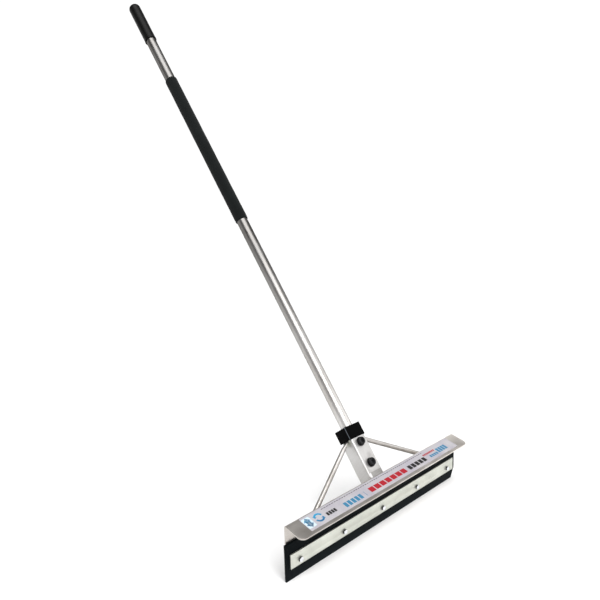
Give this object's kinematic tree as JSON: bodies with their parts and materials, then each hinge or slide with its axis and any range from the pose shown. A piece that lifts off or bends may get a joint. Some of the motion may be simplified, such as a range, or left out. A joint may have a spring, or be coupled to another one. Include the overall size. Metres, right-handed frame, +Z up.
{
  "type": "floor scraper",
  "caption": "Long-handled floor scraper: a folded metal head with a clamped rubber blade, held by a braced socket on a straight tube handle with foam and end grips.",
  "frame": {"origin": "middle of the rubber blade's lower edge, the edge that meets the floor", "axes": "+X along the head to the user's left when pushing, -Y forward, +Y to the back where the handle leans, +Z up"},
  "size_m": [0.612, 1.0271, 1.3525],
  "materials": {
    "plate_metal": "mill-finish aluminium sheet, brushed lengthways",
    "blade_rubber": "matt black rubber, slightly dusty edge",
    "strip_metal": "pale satin aluminium flat bar",
    "zinc_steel": "bright zinc-plated steel",
    "label_film": "silvery printed plastic film",
    "bracket_metal": "folded aluminium sheet, satin",
    "sleeve_metal": "extruded aluminium box section",
    "black_plastic": "moulded black plastic",
    "black_steel": "black oxide steel",
    "tube_metal": "satin drawn aluminium tube",
    "grip_foam": "closed-cell black foam",
    "grip_rubber": "smooth black moulded rubber",
    "brace_metal": "drawn aluminium tube with flattened ends",
    "weld_metal": "aluminium weld bead"
  },
  "bodies": {
    "root": {"scraper_plate": "plate_metal", "rubber_blade": "blade_rubber", "clamp_strip": "strip_metal", "blade_bolts": "zinc_steel", "blade_washers": "zinc_steel", "blade_nuts": "zinc_steel", "label": "label_film", "socket_bracket": "bracket_metal", "socket_sleeve": "sleeve_metal", "socket_collar": "black_plastic", "socket_bolts": "black_steel", "socket_front_washers": "black_steel", "socket_rear_washers": "black_steel", "socket_nuts": "black_steel", "handle_tube": "tube_metal", "foam_grip": "grip_foam", "hand_grip": "grip_rubber", "brace_left": "brace_metal", "brace_right": "brace_metal", "bracket_welds": "weld_metal", "brace_welds": "weld_metal"}
  },
  "joints": []
}
